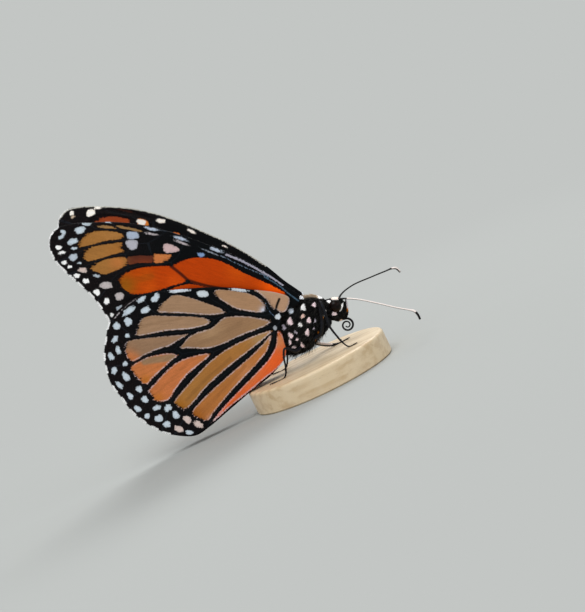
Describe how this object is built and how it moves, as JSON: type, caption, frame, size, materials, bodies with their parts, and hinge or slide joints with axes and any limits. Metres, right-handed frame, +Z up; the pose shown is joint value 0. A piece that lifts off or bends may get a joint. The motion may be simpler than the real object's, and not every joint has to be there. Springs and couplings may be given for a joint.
{
  "type": "monarch butterfly model",
  "caption": "Life-size still model of a monarch butterfly at rest, wings nearly closed over its back, feelers forward, standing on a plain round base.",
  "frame": {"origin": "middle of the model's box, at the underside of the base", "axes": "+X forwards past the head, +Y to the insect's left, +Z up"},
  "size_m": [0.0604, 0.029, 0.0519],
  "materials": {
    "forewing": "matt scaled wing, orange cells between black veins, white dots in a black border",
    "hindwing": "matt scaled wing, tan and orange cells between black veins, white dots in a black border",
    "fur": "short black fur with white tufts",
    "eye": "satin faceted eye",
    "horn": "satin black skin of legs, feelers, palps and tongue",
    "base": "pale waxed wood, fine grain"
  },
  "bodies": {
    "root": {"head": "fur", "thorax": "fur", "abdomen": "fur", "eye_left": "eye", "eye_right": "eye", "palp_left": "fur", "palp_right": "fur", "proboscis": "horn", "antenna_right": "horn", "antenna_left": "horn", "foreleg_right": "horn", "foreleg_left": "horn", "midleg_right": "horn", "midleg_left": "horn", "hindleg_right": "horn", "hindleg_left": "horn", "forewing_left": "forewing", "forewing_right": "forewing", "hindwing_left": "hindwing", "hindwing_right": "hindwing", "stand_base": "base"}
  },
  "joints": []
}
